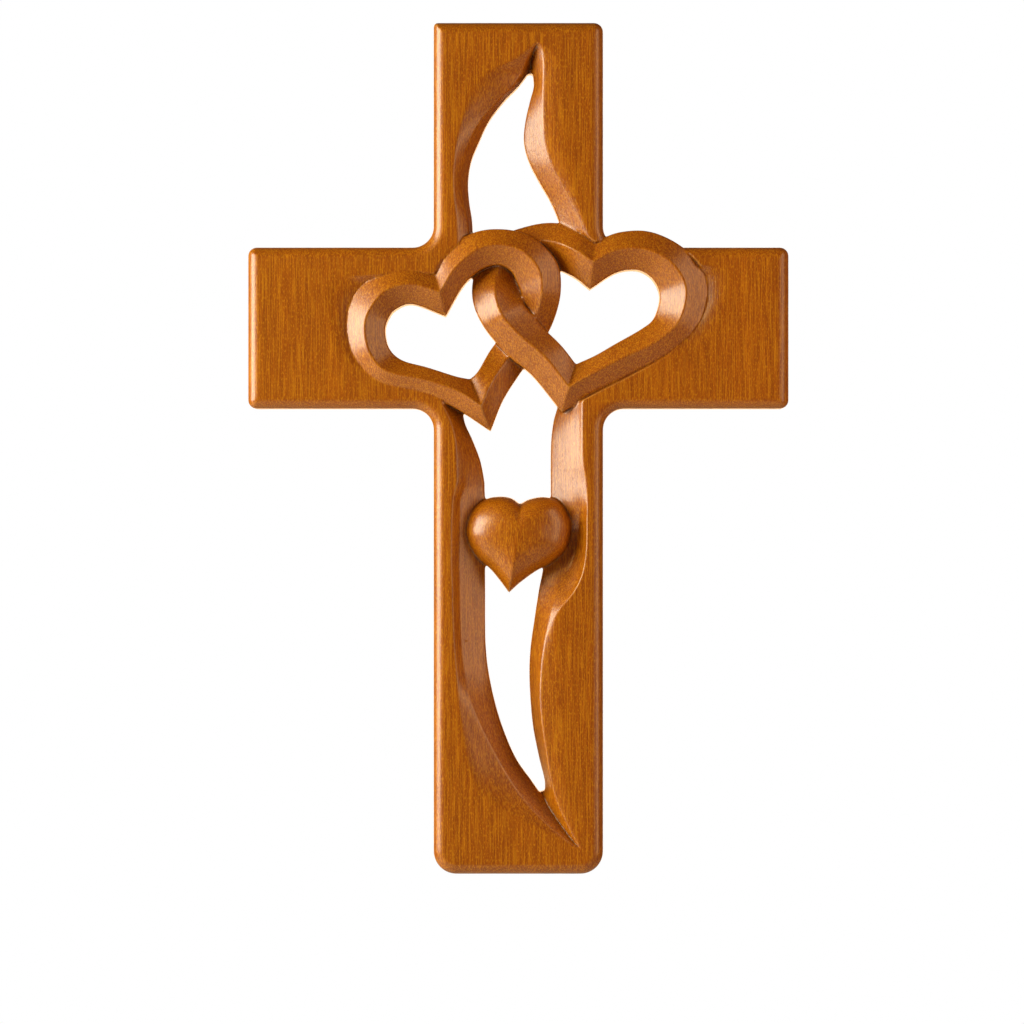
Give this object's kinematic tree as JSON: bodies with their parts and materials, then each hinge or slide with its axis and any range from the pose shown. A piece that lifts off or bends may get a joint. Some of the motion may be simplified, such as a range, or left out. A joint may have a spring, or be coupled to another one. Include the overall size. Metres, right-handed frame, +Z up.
{
  "type": "wall cross",
  "caption": "Carved wooden wall cross with two interlaced open hearts at the crossing and a small solid heart bridging the long opening of its stem.",
  "frame": {"origin": "on the flat back, on the stem's centre line, 14 mm below the top end and 7 mm below the middle of the blind hanging hole", "axes": "+Z up along the stem, +X to the right as seen from the front, -Y out of the carved face, +Y into the wall"},
  "size_m": [0.1906, 0.02, 0.3],
  "materials": {
    "wood": "honey-brown stain under satin lacquer"
  },
  "bodies": {
    "root": {"cross": "wood"}
  },
  "joints": []
}
